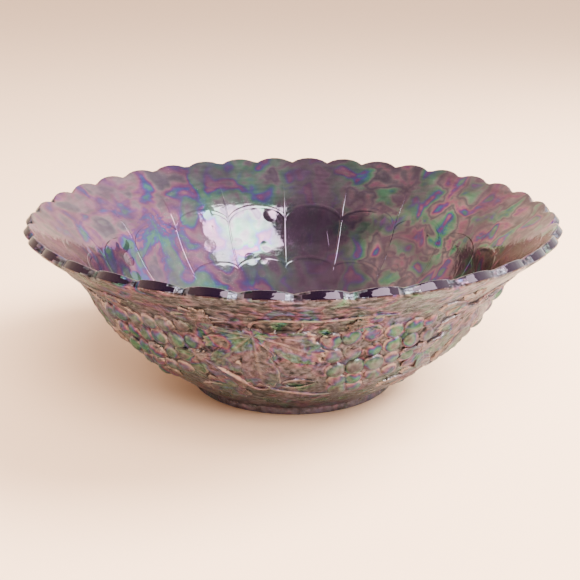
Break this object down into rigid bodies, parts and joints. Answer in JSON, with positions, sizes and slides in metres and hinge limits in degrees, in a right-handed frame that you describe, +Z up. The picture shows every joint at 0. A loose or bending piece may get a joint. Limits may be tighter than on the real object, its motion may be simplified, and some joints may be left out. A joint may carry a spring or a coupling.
{
  "type": "bowl",
  "caption": "Round pressed-glass bowl with an iridescent finish, a flared scalloped rim, a low foot ring, grape and leaf relief outside and an arcade of ribs inside.",
  "frame": {"origin": "centre of the foot ring's underside, where the bowl stands", "axes": "+Z up along the bowl's axis, through the middle of the foot and the mouth; +Y points away from the viewer, +X to the viewer's right"},
  "size_m": [0.2322, 0.2322, 0.0786],
  "materials": {
    "body_glass": "amethyst pressed glass with a mottled green, pink and gold lustre, satin to glossy",
    "relief_glass": "iridised pressed relief with bright fire-polished edges",
    "arcade_glass": "iridised low relief, glossy",
    "rim_glass": "dark amethyst, fire-polished and very glossy"
  },
  "bodies": {
    "root": {"foot_ring": "body_glass", "bowl_floor": "body_glass", "bowl_wall": "body_glass", "flared_lip": "body_glass", "scalloped_rim": "rim_glass", "grape_cluster_1": "relief_glass", "vine_leaf_1": "relief_glass", "vine_stem_1": "relief_glass", "grape_cluster_2": "relief_glass", "vine_leaf_2": "relief_glass", "vine_stem_2": "relief_glass", "grape_cluster_3": "relief_glass", "vine_leaf_3": "relief_glass", "vine_stem_3": "relief_glass", "grape_cluster_4": "relief_glass", "vine_leaf_4": "relief_glass", "vine_stem_4": "relief_glass", "grape_cluster_5": "relief_glass", "vine_leaf_5": "relief_glass", "vine_stem_5": "relief_glass", "grape_cluster_6": "relief_glass", "vine_leaf_6": "relief_glass", "vine_stem_6": "relief_glass", "arcade_rib_1": "arcade_glass", "arcade_arch_1": "arcade_glass", "arcade_rib_2": "arcade_glass", "arcade_arch_2": "arcade_glass", "arcade_rib_3": "arcade_glass", "arcade_arch_3": "arcade_glass", "arcade_rib_4": "arcade_glass", "arcade_arch_4": "arcade_glass", "arcade_rib_5": "arcade_glass", "arcade_arch_5": "arcade_glass", "arcade_rib_6": "arcade_glass", "arcade_arch_6": "arcade_glass", "arcade_rib_7": "arcade_glass", "arcade_arch_7": "arcade_glass", "arcade_rib_8": "arcade_glass", "arcade_arch_8": "arcade_glass", "arcade_rib_9": "arcade_glass", "arcade_arch_9": "arcade_glass", "arcade_rib_10": "arcade_glass", "arcade_arch_10": "arcade_glass", "arcade_rib_11": "arcade_glass", "arcade_arch_11": "arcade_glass", "arcade_rib_12": "arcade_glass", "arcade_arch_12": "arcade_glass", "arcade_rib_13": "arcade_glass", "arcade_arch_13": "arcade_glass", "arcade_rib_14": "arcade_glass", "arcade_arch_14": "arcade_glass", "arcade_rib_15": "arcade_glass", "arcade_arch_15": "arcade_glass", "arcade_rib_16": "arcade_glass", "arcade_arch_16": "arcade_glass", "arcade_rib_17": "arcade_glass", "arcade_arch_17": "arcade_glass", "arcade_rib_18": "arcade_glass", "arcade_arch_18": "arcade_glass"}
  },
  "joints": []
}
